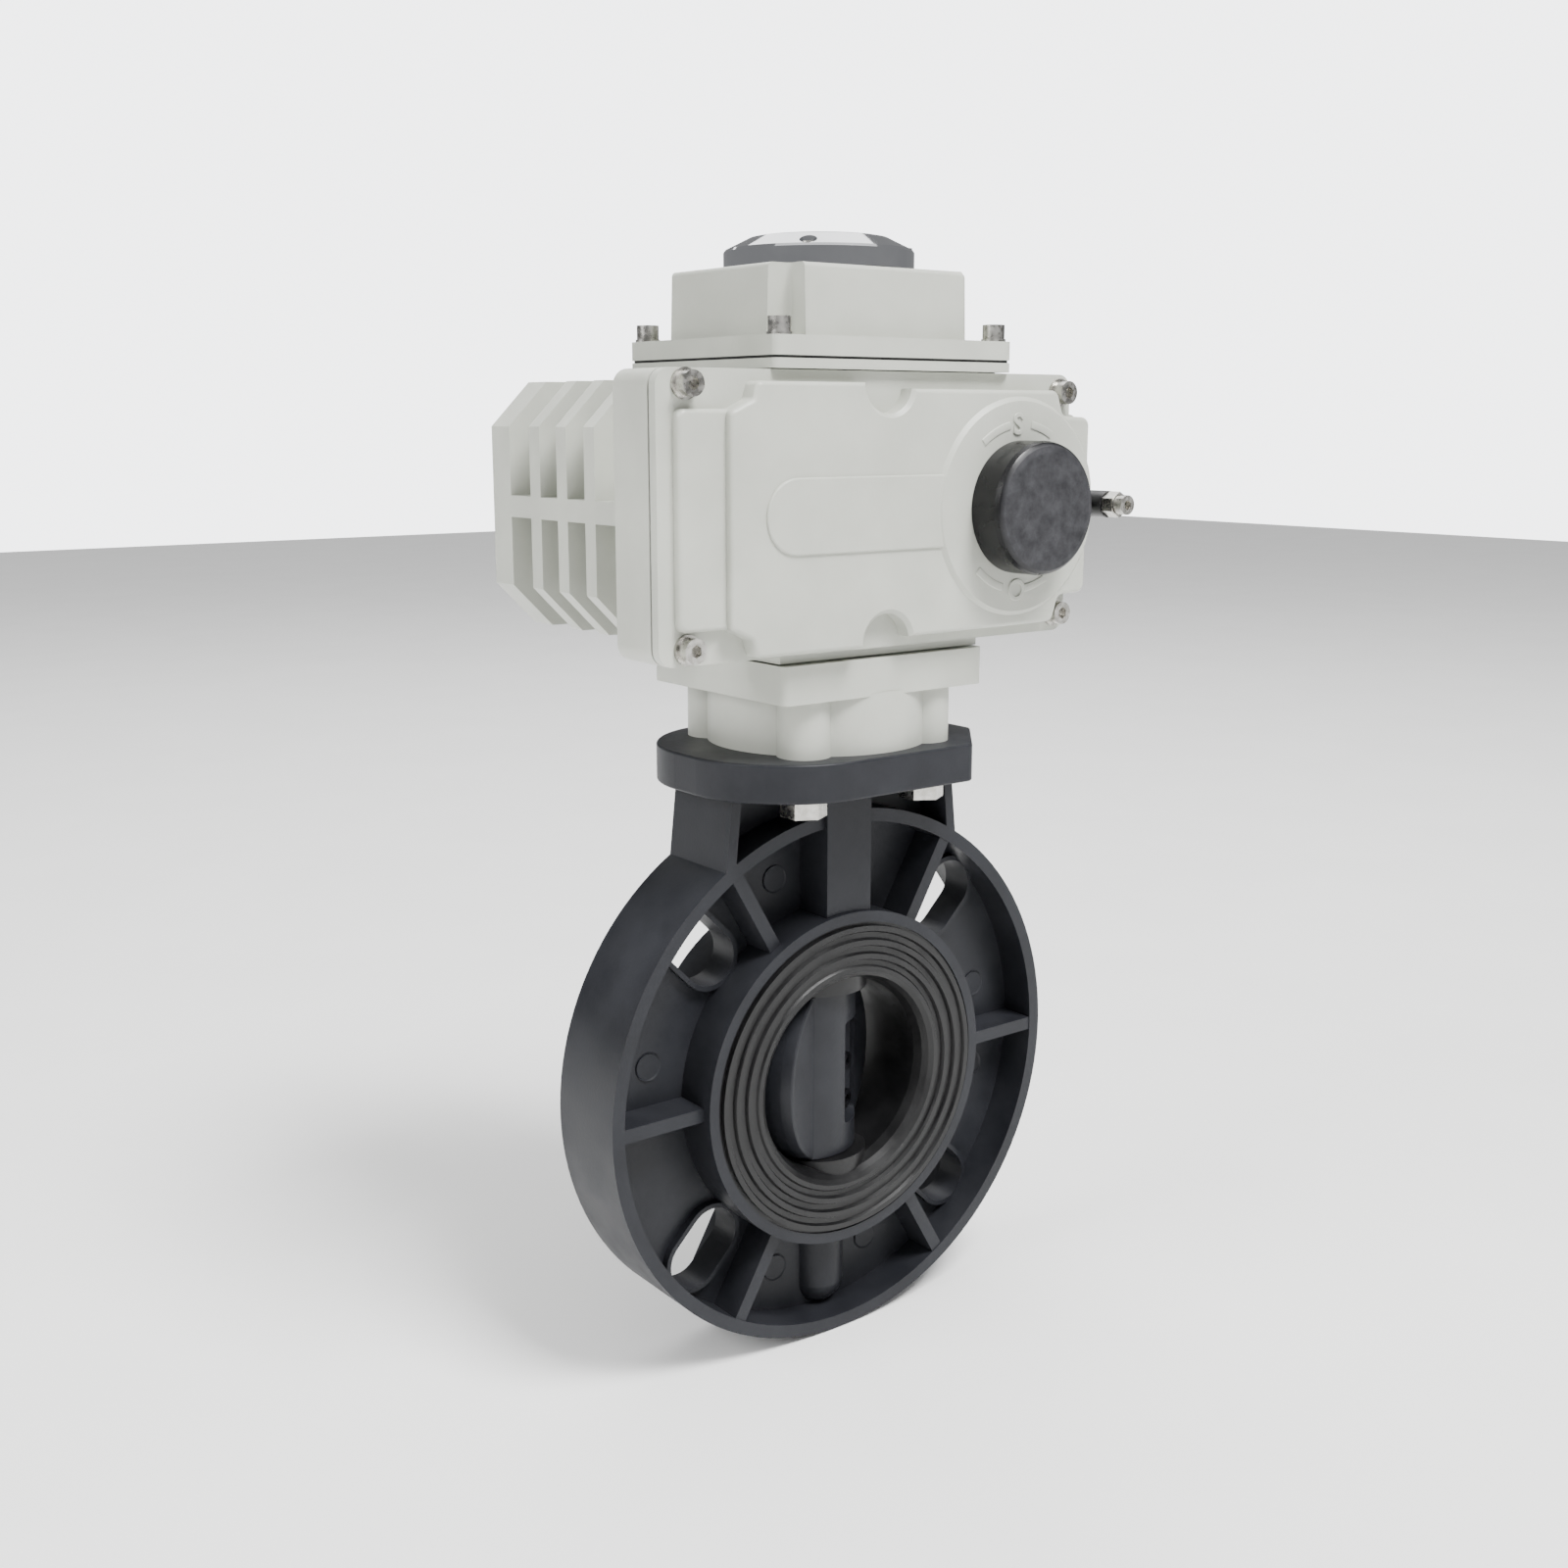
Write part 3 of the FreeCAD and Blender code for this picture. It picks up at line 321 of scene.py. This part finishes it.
dull = add(cap_tree, "ShaderNodeMix", {"data_type": "FLOAT", "B": 0.62}, Factor=face, A=cap_rough)
cap_tree.links.new(dull.outputs["Result"], cap_shader.inputs["Roughness"])

# ---- Output drive ----
# Bronze worm sector and plain bronze bushes, machined; steel sleeve, worm
# shaft, spur gears, pins, bearings and screws, turned and lightly oiled.
dress(surface("machined aluminium bronze", "#A8813F", "#C79C55", gloss=(0.26, 0.4),
              patch_mm=6, grain_mm=0.25, depth_mm=0.01, metallic=1),
      "worm_wheel", "output_bushes")
dress(surface("turned steel, lightly oiled", "#85858A", "#A9A9AC", gloss=(0.24, 0.4),
              patch_mm=5, grain_mm=0.3, depth_mm=0.01, metallic=1),
      "output_sleeve", "worm_shaft", "worm_gear", "idler_gear", "idler_pin", "worm_bearings",
      "motor_shaft", "motor_bearings", "motor_tie_screws", "base_screws", "cam_shaft",
      "terminal_screws")

# ---- Motor ----
# Rotor and stator are stacks of stamped electrical steel, so their skin shows
# the 0.5 mm sheets; the windings are varnished copper wire.
stack = surface("stacked electrical steel", "#4C4C50", "#6A6A6D",
                gloss=(0.4, 0.55), patch_mm=7, grain_mm=0.4, depth_mm=0.01, metallic=1)
wire = surface("varnished copper wire", "#6E3414", "#95501F",
               gloss=(0.2, 0.32), patch_mm=4, grain_mm=0.4, depth_mm=0.01)
dress(stack, "rotor", "stator")
dress(wire, "windings")
for material, lay_mm in ((stack, 0.5), (wire, 0.8)):
    tree = material.node_tree
    place = tree.nodes["Texture Coordinate"].outputs["Object"]
    bands = add(tree, "ShaderNodeTexWave",
                {"bands_direction": "Y", "Scale": 1000 / lay_mm / 20}, Vector=place)
    ridged = add(tree, "ShaderNodeBump", {"Distance": 0.00015}, Height=bands.outputs["Fac"],
                 Normal=tree.nodes["Bump"].outputs["Normal"])
    tree.links.new(ridged.outputs["Normal"], tree.nodes["Principled BSDF"].inputs["Normal"])

# ---- Switch chamber ----
# Zinc-plated sheet brackets, black nylon cams and switches, a grey terminal
# strip and a motor capacitor in a white film sleeve.
dress(surface("zinc-plated sheet steel", "#A5A8A6", "#C6C7C0", gloss=(0.3, 0.5),
              patch_mm=4, grain_mm=0.5, depth_mm=0.01, metallic=1),
      "pinion_bracket", "electrical_plate", "switch_bracket")
dress(surface("black glass-filled nylon", "#131314", "#1D1D1F", gloss=(0.32, 0.46),
              patch_mm=6, grain_mm=0.5, depth_mm=0.03),
      "cams", "limit_switches", "cable_gland")
dress(surface("grey moulded terminal strip", "#9A9C96", "#A8AAA4", gloss=(0.42, 0.55),
              patch_mm=9, grain_mm=0.6, depth_mm=0.02), "terminal_block")
dress(surface("white film sleeve", "#D8D6CC", "#E3E1D8", gloss=(0.25, 0.35),
              patch_mm=12, grain_mm=0.8, depth_mm=0.02), "capacitor")

# ---- Position indicator ----
# Chrome-plated moulded bezel, smoked polycarbonate window, and a glossy black
# dial whose raised bar is painted yellow and lies along the valve disc.
dress(surface("bright chrome plate", "#D5D6D9", "#E2E3E5", gloss=(0.04, 0.08),
              patch_mm=25, grain_mm=2.0, depth_mm=0.005, metallic=1), "indicator_bezel")
smoked = surface("smoked polycarbonate", "#17181A", "#1D1E20",
                 gloss=(0.05, 0.1), patch_mm=20, grain_mm=2.0, depth_mm=0.002)
dress(smoked, "indicator_window")
smoked_shader = smoked.node_tree.nodes["Principled BSDF"]
smoked_shader.inputs["Transmission Weight"].default_value = 0.55
smoked_shader.inputs["IOR"].default_value = 1.58
dial = surface("black dial with painted bar", "#0D0D0E", "#141416",
               gloss=(0.2, 0.3), patch_mm=10, grain_mm=0.6, depth_mm=0.01)
dress(dial, "indicator_disc")
dial_tree = dial.node_tree
dial_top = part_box("indicator_disc")[1][2]
height = add(dial_tree, "ShaderNodeSeparateXYZ", {},
             Vector=dial_tree.nodes["Texture Coordinate"].outputs["Object"]).outputs["Z"]
paint_depth = 0.0003
on_bar = add(dial_tree, "ShaderNodeMath", {"operation": "GREATER_THAN", 1: dial_top - paint_depth})
dial_tree.links.new(height, on_bar.inputs[0])
painted = add(dial_tree, "ShaderNodeMix", {"data_type": "RGBA", 7: linear("#D9A514")},
              Factor=on_bar.outputs["Value"])
dial_tree.links.new(dial_tree.nodes["Color Ramp"].outputs["Color"], painted.inputs[6])
dial_tree.links.new(painted.outputs[2], dial_tree.nodes["Principled BSDF"].inputs["Base Color"])
